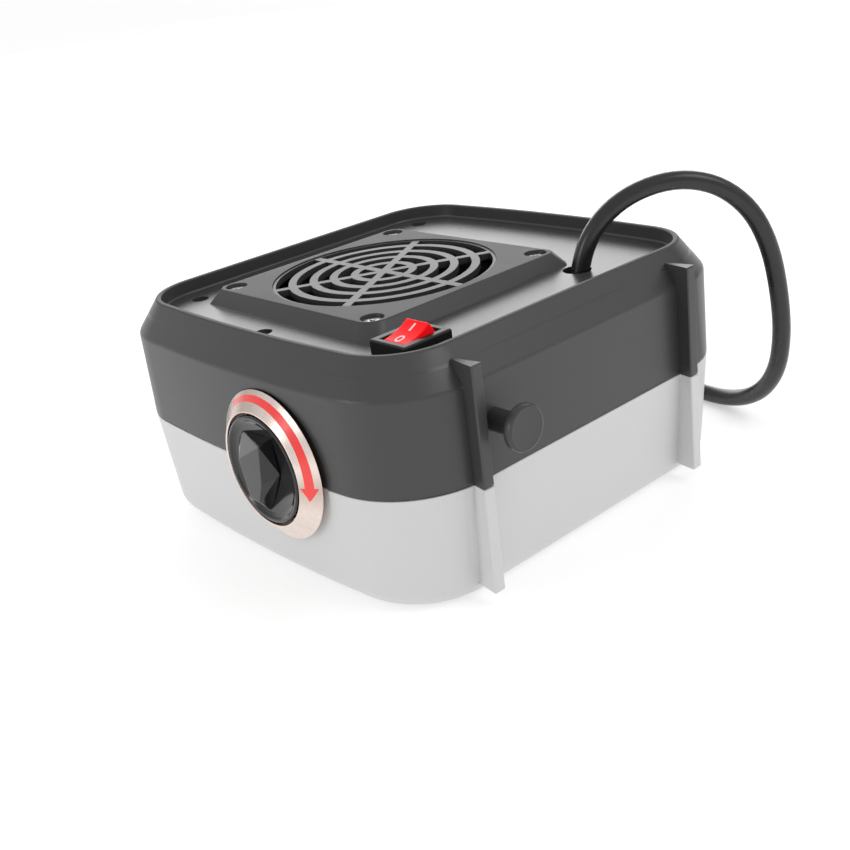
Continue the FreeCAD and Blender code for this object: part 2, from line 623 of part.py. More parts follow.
def power_cord():
    path = tangent_path(CORD_ROUTE)
    first, second = V(*CORD_ROUTE[0]), V(*CORD_ROUTE[1])
    ring = Part.Wire(Part.makeCircle(CORD_D / 2, first, second - first))
    tube = path.makePipeShell([ring], True, True)
    exact = math.pi * (CORD_D / 2) ** 2 * path.Length
    print("cord tube length %.1f mm, volume ratio %.4f" % (path.Length, tube.Volume / exact))
    return tube


def cord_coil():
    outer = COIL_MEAN_R + COIL_ROWS * CORD_D / 2
    inner = COIL_MEAN_R - COIL_ROWS * CORD_D / 2
    height = COIL_LAYERS * CORD_D
    coil = rod(COIL_X, COIL_Y, 0.1, outer, height).cut(rod(COIL_X, COIL_Y, -1, inner, height + 5))
    return coil.makeFillet(3.0, [e for e in coil.Edges if e.Closed and e.Length > 100])


def plug_body():
    """Moulded mains plug with a tapered tail, lying along +Y on the coil."""
    tail = Part.makeCone(4.6, 7.0, 24.0, V(PLUG_X, PLUG_TAIL_Y, PLUG_Z), Y_AXIS)
    body = box(PLUG_X - 12, PLUG_X + 12, PLUG_TAIL_Y + 22, PLUG_TAIL_Y + 50, PLUG_Z - 13, PLUG_Z + 13)
    body = body.makeFillet(4.0, [e for e in body.Edges if e.BoundBox.YLength > 20])
    bore = rod(PLUG_X, PLUG_TAIL_Y - 1, PLUG_Z, CORD_D / 2 + 0.1, 9.0, Y_AXIS)
    return tail.fuse(body).cut(bore)


def plug_pins():
    """Two flat blades and a round earth pin."""
    y = PLUG_TAIL_Y + 50
    blades = [box(PLUG_X + dx - 0.75, PLUG_X + dx + 0.75, y, y + 17, PLUG_Z + 1.8, PLUG_Z + 8.1)
              for dx in (-6.35, 6.35)]
    return group(blades + [rod(PLUG_X, y, PLUG_Z - 6.9, 2.4, 19.0, Y_AXIS)])


def main():
    os.makedirs("parts", exist_ok=True)
    makers = [upper_shell, lower_shell, case_screws, glass_plate, plate_seal, insulation_pan, heating_element,
              heat_limiter, heat_shield, shield_posts, board_standoffs, circuit_board, board_screws, heat_sink,
              power_parts, fan_frame, fan_rotor, fan_grille, fan_screws, dial_plate, control_knob,
              control_shaft, power_control, control_bracket, control_nut, switch_body, switch_rocker,
              switch_tabs, cord_peg, peg_screw, cord_clamp, inner_leads, power_cord, cord_coil,
              plug_body, plug_pins]
    for maker in makers:
        keep(maker.__name__, maker())
    for name, shape in NODES.items():
        print("%-16s valid %s solids %d volume %.0f" % (name, shape.isValid(), len(shape.Solids), shape.Volume))
        shape.exportStep("parts/%s.step" % name)


main()
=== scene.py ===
# %% [markdown]
# # A compact hot plate, seen from its fan side
#
# The real object is a small kitchen burner that rests on its glass face: a light lower
# shell, a dark upper shell with a fan grille, a rocker switch, a round control knob on a
# metal dial, a peg that the lead is wound on, and a black lead. The engineering model
# gives every part its true place and size. This lesson gives those parts their looks.
# We load that model first, because every piece below takes its place from it.

# %% Load the frame
import json
import math

import bmesh
import bpy
from mathutils import Matrix, Vector

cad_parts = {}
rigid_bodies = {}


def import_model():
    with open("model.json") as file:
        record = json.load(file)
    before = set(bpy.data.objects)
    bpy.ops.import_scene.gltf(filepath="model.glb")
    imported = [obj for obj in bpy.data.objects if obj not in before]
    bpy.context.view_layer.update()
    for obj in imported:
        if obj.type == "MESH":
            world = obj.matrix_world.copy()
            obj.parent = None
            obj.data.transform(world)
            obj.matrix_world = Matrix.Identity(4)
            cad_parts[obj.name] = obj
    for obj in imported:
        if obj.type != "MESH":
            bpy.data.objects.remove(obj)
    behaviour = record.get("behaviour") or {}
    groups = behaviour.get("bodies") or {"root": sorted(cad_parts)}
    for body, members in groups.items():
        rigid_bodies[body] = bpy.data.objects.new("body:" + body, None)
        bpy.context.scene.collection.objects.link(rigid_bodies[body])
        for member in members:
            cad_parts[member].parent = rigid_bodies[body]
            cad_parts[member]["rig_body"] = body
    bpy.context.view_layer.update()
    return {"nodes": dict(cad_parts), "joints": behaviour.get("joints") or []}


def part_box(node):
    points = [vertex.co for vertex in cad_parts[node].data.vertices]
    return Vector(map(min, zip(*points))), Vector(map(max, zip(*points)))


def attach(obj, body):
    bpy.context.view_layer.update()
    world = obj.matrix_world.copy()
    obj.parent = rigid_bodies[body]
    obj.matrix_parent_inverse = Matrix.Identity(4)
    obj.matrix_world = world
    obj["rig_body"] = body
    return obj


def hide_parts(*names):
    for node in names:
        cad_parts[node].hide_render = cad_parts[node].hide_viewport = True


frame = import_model()
MM = 0.001

# %% [markdown]
# ## Camera
#
# A camera could be aimed with a Track To constraint, but a product view is easier to
# repeat when its direction is three plain angles: round the object, above it, and a
# small roll. The lens shift frames the object without turning the camera.

# %% Camera
AZIMUTH, ELEVATION, ROLL = (math.radians(a) for a in (52.15, 21.74, -8.23))
CAMERA_PLACE = Vector((0.3273, -0.2793, 0.2064))

camera_data = bpy.data.cameras.new("camera")
camera_data.lens = 48.46
camera_data.shift_x = 0.0533
camera_data.shift_y = -0.0294
camera = bpy.data.objects.new("camera", camera_data)
bpy.context.collection.objects.link(camera)
aim = (Matrix.Rotation(AZIMUTH, 4, "Z") @ Matrix.Rotation(math.pi / 2 - ELEVATION, 4, "X")
       @ Matrix.Rotation(ROLL, 4, "Z"))
camera.matrix_world = Matrix.Translation(CAMERA_PLACE) @ aim
bpy.context.scene.camera = camera
print("camera stands", round(CAMERA_PLACE.length, 3), "m from the origin")

# %% [markdown]
# ## Shader arithmetic
#
# A finish is a small graph of nodes. Wiring it by hand takes many lines, so one class
# wraps an output socket and overloads the arithmetic signs: `1 - mask * 0.3` then adds
# its own Math nodes. Every other node comes from one method of the finish.

# %% A socket that can be used in sums
class Signal:
    def __init__(self, finish, socket):
        self.finish = finish
        self.socket = socket

    def maths(self, operation, *values):
        return self.finish.node("ShaderNodeMath", {"operation": operation}, dict(enumerate(values)))

    def __add__(self, other):
        return self.maths("ADD", self, other)

    def __sub__(self, other):
        return self.maths("SUBTRACT", self, other)

    def __rsub__(self, other):
        return self.maths("SUBTRACT", other, self)

    def __mul__(self, other):
        return self.maths("MULTIPLY", self, other)

    def __truediv__(self, other):
        return self.maths("DIVIDE", self, other)

    def __pow__(self, other):
        return self.maths("POWER", self, other)

    def __gt__(self, other):
        return self.maths("GREATER_THAN", self, other)

    def __lt__(self, other):
        return self.maths("LESS_THAN", self, other)

    def __abs__(self):
        return self.maths("ABSOLUTE", self)

    __radd__ = __add__
    __rmul__ = __mul__


# %% A finish: one material and its nodes
class Finish:
    def __init__(self, name):
        self.material = bpy.data.materials.new(name)
        self.material.use_nodes = True
        self.tree = self.material.node_tree
        self.shader = self.tree.nodes["Principled BSDF"]

    def node(self, kind, settings, sockets, output=0):
        made = self.tree.nodes.new(kind)
        for key, value in settings.items():
            setattr(made, key, value)
        for key, value in sockets.items():
            self.feed(made.inputs[key], value)
        return Signal(self, made.outputs[output])

    def feed(self, target, value):
        if isinstance(value, Signal):
            self.tree.links.new(value.socket, target)
        else:
            target.default_value = value

    def place(self):
        """Where a point of the piece is, in metres in the object's own frame."""
        return self.node("ShaderNodeTexCoord", {}, {}, "Object")

    def axes(self):
        split = self.node("ShaderNodeSeparateXYZ", {}, {"Vector": self.place()}).socket.node
        return [Signal(self, s) for s in split.outputs]

    def stretched(self, scale):
        return self.node("ShaderNodeMapping", {}, {"Vector": self.place(), "Scale": scale})

    def noise(self, scale, detail=3.0, where=None):
        where = where or self.place()
        return self.node("ShaderNodeTexNoise", {}, {"Vector": where, "Scale": scale, "Detail": detail})

    def mix(self, amount, first, second):
        """A colour between two. The node's colours are its inputs 6 and 7 and its output 2."""
        return self.node("ShaderNodeMix", {"data_type": "RGBA"}, {0: amount, 6: first, 7: second}, 2)

    def bump(self, height, depth, strength=0.5):
        sockets = {"Height": height, "Distance": depth, "Strength": strength}
        return self.node("ShaderNodeBump", {}, sockets)

    def surface(self, **sockets):
        for key, value in sockets.items():
            self.feed(self.shader.inputs[key.replace("_", " ")], value)
        return self.material


def grey(level):
    return (level, level, level, 1.0)


print("shader helpers ready")

# %% [markdown]
# ## Moulded plastics
#
# The two shells are injection moulded: one colour all through, a fine spark-eroded
# texture, and a slow change of sheen where the melt flowed. One function makes all the
# plastics, because they differ only in colour, gloss and grain. The bump is a fraction
# of a tenth of a millimetre deep; more would read as orange peel. The rocker's red plastic
# is a little translucent; the light scattered inside it is painted as a weak red glow.

# %% Plastic finishes
def plastic(made, light, dark, roughness, grain=1.0, coat=0.0, shine=0.5, sheen_by=1.0):
    cloud = made.noise(22, detail=4)
    speck = made.noise(1400, detail=2)
    streak = made.noise(60, where=made.stretched((1.0, 1.0, 6.0)))
    colour = made.mix(cloud * 0.7 + speck * 0.3, dark, light)
    sheen = roughness * 0.86 + cloud * (roughness * 0.2) + streak * (roughness * 0.12)
    normal = made.bump(speck + cloud * 0.3, 0.00004 * grain, 0.35)
    return made.surface(
        Base_Color=colour,
        Roughness=sheen * sheen_by,
        Normal=normal,
        Coat_Weight=coat,
        Specular_IOR_Level=shine,
    )


# The recessed floor and the strip of wall level with it are smoother than the sides, and
# the raised platform and the rim's edge are rougher. Both are told by height below the rim.
RIM_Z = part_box("upper_shell")[1].z
FLOOR_LOW, FLOOR_HIGH, PLATFORM_LOW = (RIM_Z - drop * MM for drop in (6.0, 5.1, 0.6))
SMOOTHER, ROUGHER = 0.28, 0.55

upper = Finish("dark shell plastic")
height = upper.axes()[2]
floor = (height > FLOOR_LOW) * (height < FLOOR_HIGH)
platform = height > PLATFORM_LOW
height_sheen = 1 - floor * SMOOTHER + platform * ROUGHER
dark_shell = plastic(upper, grey(0.050), grey(0.040), 0.36, sheen_by=height_sheen)
light_shell = plastic(Finish("light shell plastic"), grey(0.64), grey(0.61), 0.42, shine=0.4)
guard_plastic = plastic(Finish("guard plastic"), grey(0.045), grey(0.036), 0.42)
gloss_black = plastic(Finish("gloss black plastic"), grey(0.010), grey(0.007), 0.15, grain=0.3, coat=0.2)
peg_black = plastic(Finish("peg plastic"), grey(0.040), grey(0.030), 0.32)
fan_black = plastic(Finish("fan plastic"), grey(0.022), grey(0.016), 0.4)
bezel_black = plastic(Finish("bezel plastic"), grey(0.016), grey(0.010), 0.38, grain=0.3, shine=0.3)

PAINTED_GLOW_RED = (1.0, 0.002, 0.006, 1)
BRIGHT_RED, DEEP_RED = (1.0, 0.006, 0.010, 1), (0.90, 0.004, 0.008, 1)
painted_glow_rocker = Finish("red rocker plastic")
# Painted glow: the rocker gives off a weak red light of its own, standing in for light scattered inside
# the plastic.
painted_glow_rocker.surface(Emission_Color=PAINTED_GLOW_RED, Emission_Strength=0.22)
signal_red = plastic(painted_glow_rocker, BRIGHT_RED, DEEP_RED, 0.34, grain=0.2, shine=0.12)
print("plastics ready")

# %% [markdown]
# ## Metals, glass, rubber and board
#
# Metals take their colour from what they reflect, so their variety is in roughness.
# The parts that are hidden when the burner is whole still get their own finish, for a
# reader who takes it apart.

# %% Metal and other finishes
def metal(name, colour, roughness, grain=60.0, squeeze=(1.0, 1.0, 1.0)):
    made = Finish(name)
    scratches = made.noise(grain, detail=5, where=made.stretched(squeeze))
    tone = made.mix(scratches, [c * 0.82 for c in colour[:3]] + [1], colour)
    return made.surface(
        Base_Color=tone,
        Roughness=scratches * 0.18 + (roughness - 0.08),
        Metallic=1.0,
        Normal=made.bump(scratches, 0.00002, 0.3),
    )


def matt(name, light, dark, roughness, scale=120.0, depth=0.0001):
    made = Finish(name)
    grain = made.noise(scale, detail=6)
    return made.surface(
        Base_Color=made.mix(grain, dark, light),
        Roughness=grain * 0.1 + roughness,
        Normal=made.bump(grain, depth, 0.5),
    )


screw_steel = metal("zinc plated steel", (0.72, 0.72, 0.70, 1), 0.26)
sheet_steel = metal("sheet steel", (0.62, 0.62, 0.60, 1), 0.38, squeeze=(1.0, 12.0, 1.0))
aluminium = metal("extruded aluminium", (0.80, 0.81, 0.82, 1), 0.34, squeeze=(1.0, 1.0, 10.0))
heater_metal = metal("oxidised heater alloy", (0.28, 0.23, 0.20, 1), 0.52)
brass = metal("plug pin brass", (0.86, 0.64, 0.30, 1), 0.24)
seal_rubber = matt("silicone seal", grey(0.16), grey(0.11), 0.6)
insulation = matt("pressed fibre insulation", (0.80, 0.76, 0.66, 1), (0.62, 0.58, 0.50, 1), 0.9,
                  scale=300, depth=0.0004)
ceramic = matt("steatite ceramic", (0.82, 0.80, 0.74, 1), (0.74, 0.71, 0.66, 1), 0.55)
board_green = matt("circuit board lacquer", (0.02, 0.20, 0.07, 1), (0.01, 0.13, 0.05, 1), 0.3,
                   scale=80, depth=0.00003)
component_dark = matt("moulded components", grey(0.05), grey(0.03), 0.45)
lead_sleeve = matt("lead insulation", (0.30, 0.13, 0.04, 1), (0.22, 0.09, 0.03, 1), 0.4)
print("metals and others ready")

# %% [markdown]
# The glass plate is a black glass ceramic. Its underside prints a faint dotted pattern
# that scatters light; here a noise with a hard step stands for the dots.

# %% Glass ceramic
glass = Finish("black glass ceramic")
dots = glass.noise(900, detail=0) > 0.66
glass_ceramic = glass.surface(Base_Color=glass.mix(dots, grey(0.006), grey(0.05)),
                              Roughness=dots * 0.25 + 0.06, IOR=1.52)
print("glass ready")

# %% [markdown]
# ## Spun metal dial with a printed arrow
#
# The dial is a shallow cone of spun sheet metal. Its brushing runs in circles, so the
# streaks have to follow the angle round the knob, not the room. We work out the radius
# and the angle of each point from its place. The same two numbers cut the red arrow:
# a band between two angles that drifts inwards and widens a little as it goes, and a head
# that narrows to its tip. A glossy coat over the ink picks up the lights.

# %% Dial finish
dial_low, dial_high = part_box("dial_plate")
DIAL_X = (dial_low.x + dial_high.x) / 2
DIAL_Z = (dial_low.z + dial_high.z) / 2
DIAL_R = (dial_high.x - dial_low.x) / 2
FACE_WIDTH = 7.0 * MM
LIP_R = DIAL_R - FACE_WIDTH
ARROW_START, ARROW_NECK, ARROW_TIP = -0.68, 1.62, 1.84
PRINT_MIDDLE, PRINT_DRIFT = 0.63, 0.085
PRINT_HALF, PRINT_SWELL, HEAD_HALF = 0.15, 0.025, 0.38

dial = Finish("spun metal dial")
x, _, z = dial.axes()
across, up = x - DIAL_X, z - DIAL_Z
radius = (across * across + up * up) ** 0.5
angle = across.maths("ARCTAN2", across, up)
part = (radius - LIP_R) / (DIAL_R - LIP_R)
off_centre = abs(part - (PRINT_MIDDLE - angle * PRINT_DRIFT))
between = (angle > ARROW_START) * (angle < ARROW_NECK + 0.01)
band = (off_centre < angle * PRINT_SWELL + PRINT_HALF) * between
taper = (ARROW_TIP - angle) / (ARROW_TIP - ARROW_NECK)
head = (off_centre < taper * HEAD_HALF) * (angle > ARROW_NECK) * (angle < ARROW_TIP)
print_mask = band.maths("MINIMUM", band + head, 1.0)

# Fine rings, and broad fans that change round the dial, both as noise over (radius, angle).
rings = dial.node("ShaderNodeCombineXYZ", {}, {"X": radius * 9000, "Y": angle * 5.0})
brushing = dial.noise(1.0, detail=4, where=rings)
fans = dial.node("ShaderNodeCombineXYZ", {}, {"X": angle * 3.2, "Y": radius * 20})
anisotropy = dial.noise(1.5, detail=2, where=fans)
BRONZE, PALE, PAINTED_REFLECTION_DARK = (0.66, 0.53, 0.46, 1), (0.98, 0.88, 0.83, 1), (0.40, 0.29, 0.23, 1)
PRINT_RED = (0.93, 0.02, 0.015, 1)


def painted_dark_reflection(centre, spread):
    """A soft painted dark reflection: one at its centre angle, nothing past its spread."""
    rise = 1 - abs(angle - centre) / spread
    return rise.maths("MAXIMUM", rise, 0.0)


brushed = dial.mix(brushing * 0.6 + anisotropy * 0.4, BRONZE, PALE)
# Painted reflections: two dark fans at fixed angles round the dial, where the metal mirrors darker parts
# of the room, are painted into the metal's colour.
painted_reflection_fans = (painted_dark_reflection(1.66, 0.34) + painted_dark_reflection(-0.35, 0.5)) * 0.6
tone = dial.mix(painted_reflection_fans, brushed, PAINTED_REFLECTION_DARK)
spun_metal = dial.surface(
    Base_Color=dial.mix(print_mask, tone, PRINT_RED),
    Metallic=1 - print_mask,
    Roughness=brushing * 0.14 + anisotropy * 0.08 + 0.16,
    Normal=dial.bump(brushing * (1 - print_mask), 0.00003, 0.35),
    Specular_IOR_Level=0.2,
    Coat_Weight=print_mask,
    Coat_Roughness=0.2,
    Coat_IOR=1.7,
)
print("dial radius", round(DIAL_R / MM, 1), "mm")

# %% [markdown]
# ## Lead rubber
#
# The lead's sheath is soft PVC: glossy, with a very fine wavy surface from the extruder.

# %% Lead finish
sheath = Finish("lead sheath")
ripple = sheath.noise(160, detail=3)
cord_rubber = sheath.surface(
    Base_Color=sheath.mix(ripple, grey(0.010), grey(0.018)),
    Roughness=ripple * 0.12 + 0.22,
    Normal=sheath.bump(ripple, 0.00006, 0.4),
)
print("lead sheath ready")

# %% [markdown]
# ## The lead
#
# A lead is a fixed length of something springy, so it is drawn as one smooth curve with
# few control points. It leaves the hole in the recessed floor, goes over the rim, and
# comes down behind the side wall to the table. The length that isn't in use lies in a
# neat tied coil behind the object: a loop works out its turns, two abreast and three
# high. Each step up or across happens a quarter turn before the one under it, so that
# the turns don't cut through each other.

# %% Route of the lead
LEAD_D = 7 * MM
ROUTE = [Vector(p) * MM for p in (
    (51.8, 34.6, 68.0), (52.7, 35.8, 83.6), (56.4, 41.2, 98.4), (63.5, 51.5, 108.2),
    (73.6, 65.8, 112.0), (83.2, 79.2, 108.0), (91.0, 89.8, 96.6), (95.2, 95.8, 80.8),
    (96.8, 99.2, 62.4), (96.2, 102.4, 43.6), (91.4, 106.2, 25.2), (79.8, 111.0, 11.0),
    (62.6, 115.4, 3.6), (42.6, 117.6, 3.6), (22.0, 117.0, 3.6), (1.4, 114.4, 3.6),
    (-18.6, 109.8, 3.6), (-39.6, 105.8, 3.6),
)]

coil_low, coil_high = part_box("cord_coil")
COIL_CENTRE = (coil_low + coil_high) / 2
OUTER_R = (coil_high.x - coil_low.x) / 2 - LEAD_D / 2
INNER_R = OUTER_R - LEAD_D
LAYER_Z = [coil_low.z + LEAD_D * (n + 0.5) for n in range(3)]
POINTS_PER_QUARTER = 4

# The stage of the coil at a number of quarter turns: (quarters, radius, height).
STAGES = [
    (0, OUTER_R, LAYER_Z[0]), (3, OUTER_R, LAYER_Z[0]), (4, INNER_R, LAYER_Z[0]),
    (6, INNER_R, LAYER_Z[0]), (7, INNER_R, LAYER_Z[1]), (9, INNER_R, LAYER_Z[1]),
    (10, OUTER_R, LAYER_Z[1]), (12, OUTER_R, LAYER_Z[1]), (13, OUTER_R, LAYER_Z[2]),
    (15, OUTER_R, LAYER_Z[2]), (16, INNER_R, LAYER_Z[2]), (18, INNER_R, LAYER_Z[2]),
    (20.25, OUTER_R, LAYER_Z[2] + 15 * MM),
]


def stage_at(quarters):
    for (q0, r0, z0), (q1, r1, z1) in zip(STAGES, STAGES[1:]):
        if quarters <= q1:
            t = (quarters - q0) / (q1 - q0)
            t = t * t * (3 - 2 * t)
            return r0 + (r1 - r0) * t, z0 + (z1 - z0) * t
    return STAGES[-1][1:]


def coil_turns():
    """Control points of the turns, clockwise from above, from the side nearest the case."""
    steps = round(STAGES[-1][0] * POINTS_PER_QUARTER)
    # The curve runs a little inside its control points, so they stand a little further out.
    spread = 1 / math.cos(math.pi / 4 / POINTS_PER_QUARTER) ** 0.8
    for step in range(steps + 1):
        quarters = step / POINTS_PER_QUARTER
        turn = -math.pi / 2 * (1 + quarters)
        r, height = stage_at(quarters)
        yield Vector((COIL_CENTRE.x + r * spread * math.cos(turn),
                      COIL_CENTRE.y + r * spread * math.sin(turn), height))


plug_low, plug_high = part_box("plug_body")
PLUG_X, PLUG_Z = (plug_low.x + plug_high.x) / 2, (plug_low.z + plug_high.z) / 2
PLUG_TAIL = Vector((PLUG_X, plug_low.y, PLUG_Z))
ROUTE_END = [PLUG_TAIL + Vector((0, -7, -0.6)) * MM, PLUG_TAIL + Vector((0, 8, 0)) * MM]
CLEAR_BEFORE, CLEAR_BESIDE = 8 * MM, 20 * MM

# The turns stop where the lead can swing straight into the plug's tail.
lead_points = ROUTE + list(coil_turns())
while (lead_points[-1].y > ROUTE_END[0].y - CLEAR_BEFORE
       or lead_points[-1].x < PLUG_X - CLEAR_BESIDE):
    lead_points.pop()
lead_points += ROUTE_END
print("lead drawn with", len(lead_points), "control points")

# %% The lead as one curve
lead_curve = bpy.data.curves.new("lead", "CURVE")
lead_curve.dimensions = "3D"
spline = lead_curve.splines.new("NURBS")
spline.points.add(len(lead_points) - 1)
for point, place in zip(spline.points, lead_points):
    point.co = (*place, 1.0)
spline.order_u = 3
spline.use_endpoint_u = True
spline.resolution_u = 5
lead_curve.bevel_depth = LEAD_D / 2
lead_curve.bevel_resolution = 5
lead_curve.use_fill_caps = True
lead_curve.materials.append(cord_rubber)
lead = bpy.data.objects.new("power_lead", lead_curve)
bpy.context.collection.objects.link(lead)
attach(lead, "case")
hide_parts("power_cord", "cord_coil")


def line_length(curve_object):
    """Length of the curve's own line: the same curve, without its thickness."""
    bare = curve_object.data.copy()
    bare.bevel_depth = 0
    probe = bpy.data.objects.new("probe", bare)
    mesh = bpy.data.meshes.new_from_object(probe)
    ends = [[mesh.vertices[v].co for v in edge.vertices] for edge in mesh.edges]
    total = sum((a - b).length for a, b in ends)
    bpy.data.meshes.remove(mesh)
    bpy.data.objects.remove(probe)
    return total


print("lead is", round(line_length(lead), 3), "m long")

# %% [markdown]
# ## From loose shape to finished piece
#
# Every piece ends the same way: doubled points are merged, faces turned outwards, the
# shading made smooth up to a crease angle, and the piece handed to the frame, which
# moves it with its body and hides the plain part that it stands for. A weighted-normal
# modifier keeps flat faces flat beside small rounded edges.

# %% Finish a piece
def settle(name, bm, nodes, finish, crease=32, turn_out=True):
    bmesh.ops.remove_doubles(bm, verts=bm.verts, dist=0.000002)
    if turn_out:
        bmesh.ops.recalc_face_normals(bm, faces=bm.faces)
    mesh = bpy.data.meshes.new(name)
    bm.to_mesh(mesh)
    bm.free()
    mesh.materials.append(finish)
    mesh.polygons.foreach_set("use_smooth", [True] * len(mesh.polygons))
    mesh.set_sharp_from_angle(angle=math.radians(crease))
    made = bpy.data.objects.new(name, mesh)
    bpy.context.collection.objects.link(made)
    made.modifiers.new("even shading", "WEIGHTED_NORMAL").keep_sharp = True
    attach(made, frame["nodes"][nodes[0]]["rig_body"])
    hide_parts(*nodes)
    print(name, "has", len(mesh.polygons), "faces")
    return made


# %% Rounded edges
def round_edges(bm, width, segments=2, sharper_than=35, chosen=None):
    """Bevel the creases of a shape, or the chosen ones among them."""
    limit = math.radians(sharper_than)
    creases = [e for e in bm.edges if len(e.link_faces) == 2 and e.calc_face_angle(0) > limit
               and (chosen is None or chosen(e))]
    bmesh.ops.bevel(bm, geom=creases, offset=width, offset_type="OFFSET", segments=segments,
                    profile=0.5, affect="EDGES", clamp_overlap=True, material=-1)


# %% [markdown]
# ## Pieces whose drawn shape is already right
#
# The shells, the guard and the fan come from the engineering model with their bosses,
# seats and holes. Modelling them again would only risk a hole that misses its screw. A
# copy of such a part is merged, its flat triangles are dissolved into whole faces, and
# its creases get the small radius that a mould or a press leaves. That radius is what
# catches the light along every edge.

# %% Copy a drawn part with soft edges
def softened(name, node, width, finish, segments=2, crease=32):
    bm = bmesh.new()
    bm.from_mesh(frame["nodes"][node].data)
    bmesh.ops.remove_doubles(bm, verts=bm.verts, dist=0.000002)
    bmesh.ops.dissolve_limit(bm, angle_limit=math.radians(0.6), verts=bm.verts, edges=bm.edges)
    round_edges(bm, width * MM, segments)
    return settle(name, bm, [node], finish, crease, turn_out=False)


softened("upper_cover", "upper_shell", 0.25, dark_shell)
softened("base_cover", "lower_shell", 0.22, light_shell)
softened("fan_guard", "fan_grille", 0.5, guard_plastic, segments=3)
softened("fan_housing", "fan_frame", 0.3, fan_black)
softened("fan_wheel", "fan_rotor", 0.25, fan_black)
softened("fan_fixings", "fan_screws", 0.2, screw_steel)
softened("case_fixings", "case_screws", 0.2, screw_steel)
softened("switch_bezel", "switch_body", 0.3, bezel_black)
softened("sink_fins", "heat_sink", 0.2, aluminium)

# %% [markdown]
# ## Turned pieces
#
# The dial, the knob's dish and the peg are all round. A lathe would make their models
# from a half outline, and the spin operator does the same: it sweeps the outline once
# round an axis and merges the last step with the first.

# %% A lathe
def turned(profile, centre, axis, steps=96):
    """Spin (radius, distance along the axis) pairs, in mm, round an axis."""
    bm = bmesh.new()
    side = axis.orthogonal().normalized()
    verts = [bm.verts.new(centre + (side * r + axis * along) * MM) for r, along in profile]
    edges = [bm.edges.new(pair) for pair in zip(verts, verts[1:])]
    bmesh.ops.spin(bm, geom=verts + edges, cent=centre, axis=axis, angle=math.tau, steps=steps,
                   use_merge=True)
    bmesh.ops.remove_doubles(bm, verts=bm.verts, dist=0.000002)
    return bm


# %% The dial: a spun cone with a thin rim that is turned back, and a rolled lip
OUT = Vector((0, -1, 0))
dial_back = Vector((DIAL_X, dial_high.y, DIAL_Z))
DEPTH = (dial_high.y - dial_low.y) / MM
RIM_R, RING_R, BUSH_R = DIAL_R / MM, LIP_R / MM, 4.6
dial_profile = [
    (BUSH_R, 1.6), (BUSH_R, 0.05), (RIM_R - 3.4, 0.0), (RIM_R - 0.5, 1.9), (RIM_R - 0.1, 2.1),
    (RIM_R, 2.25), (RIM_R - 0.1, 2.38), (RIM_R - 0.35, 2.47), (RING_R + 1.0, DEPTH - 0.35),
    (RING_R + 0.8, DEPTH - 0.1), (RING_R + 0.55, DEPTH), (RING_R + 0.25, DEPTH - 0.05),
    (RING_R + 0.05, DEPTH - 0.3), (RING_R, DEPTH - 0.6), (RING_R, 1.9), (RING_R - 0.4, 1.6),
    (BUSH_R, 1.6),
]
dial_shape = turned(dial_profile, dial_back, OUT, steps=160)
settle("dial_ring", dial_shape, ["dial_plate"], spun_metal, crease=40)

# %% [markdown]
# ## The knob
#
# The knob is a dished disc with a grip like a cut stone: seven corners at its foot and
# five on its crest, so the light breaks on flat facets of different sizes. The hull
# operator stretches skin over the corner points, which is the quickest way to a faceted
# solid, and a hair-thin bevel makes the bright lines where facets meet.

# %% The knob's dish and grip
KNOB_AXIS = Vector((DIAL_X, dial_low.y + 5.0 * MM, DIAL_Z))
knob_low, knob_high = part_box("control_knob")
KNOB_R = (knob_high.x - knob_low.x) / 2 / MM

knob_profile = [
    (0, 0.4), (KNOB_R - 0.3, 0.4), (KNOB_R, 0.7), (KNOB_R, 4.6), (KNOB_R - 0.2, 5.0),
    (KNOB_R - 0.7, 5.2), (KNOB_R - 1.3, 5.05), (KNOB_R - 2.0, 4.5), (KNOB_R - 3.2, 4.0),
    (KNOB_R - 6.0, 3.5), (KNOB_R - 10.0, 3.15), (4, 3.0), (0, 3.0),
]

# Corners of the grip as (across, up) from the knob's axis, at two distances out of it.
GRIP_FOOT = [(-13.4, 9.4), (-10.6, 12.2), (6.8, 12.8), (8.5, -0.3), (-0.8, -16.8), (-9.0, -12.0),
             (-12.0, -1.0)]
GRIP_CREST = [(7.4, 12.0), (-6.7, 4.0), (-3.8, -9.9), (1.6, -10.3), (4.9, -2.6)]
FOOT_OUT, CREST_OUT = 3.3, 9.0


def grip_corners(bm, outline, out):
    """Corner points of one level of the grip, at a distance out along the knob's axis."""
    for across_mm, up_mm in outline:
        bm.verts.new(KNOB_AXIS + Vector((across_mm, -out, up_mm)) * MM)


grip = bmesh.new()
grip_corners(grip, GRIP_FOOT, FOOT_OUT)
grip_corners(grip, GRIP_CREST, CREST_OUT)
hull = bmesh.ops.convex_hull(grip, input=grip.verts)
inside = [g for g in hull["geom_interior"] if isinstance(g, bmesh.types.BMVert)]
bmesh.ops.delete(grip, geom=inside, context="VERTS")
bmesh.ops.dissolve_limit(grip, angle_limit=math.radians(1), verts=grip.verts, edges=grip.edges)
round_edges(grip, 0.28 * MM, segments=2, sharper_than=8)
knob_shape = turned(knob_profile, KNOB_AXIS, OUT, steps=128)
grip_mesh = bpy.data.meshes.new("grip")
bmesh.ops.recalc_face_normals(grip, faces=grip.faces)
grip.to_mesh(grip_mesh)
grip.free()
knob_shape.from_mesh(grip_mesh)
settle("knob", knob_shape, ["control_knob"], gloss_black, crease=12)

# %% [markdown]
# ## The cord peg
#
# The lead is wound on a headed peg. Its outline is a neck, a fillet, and a flat head
# with a soft rim.

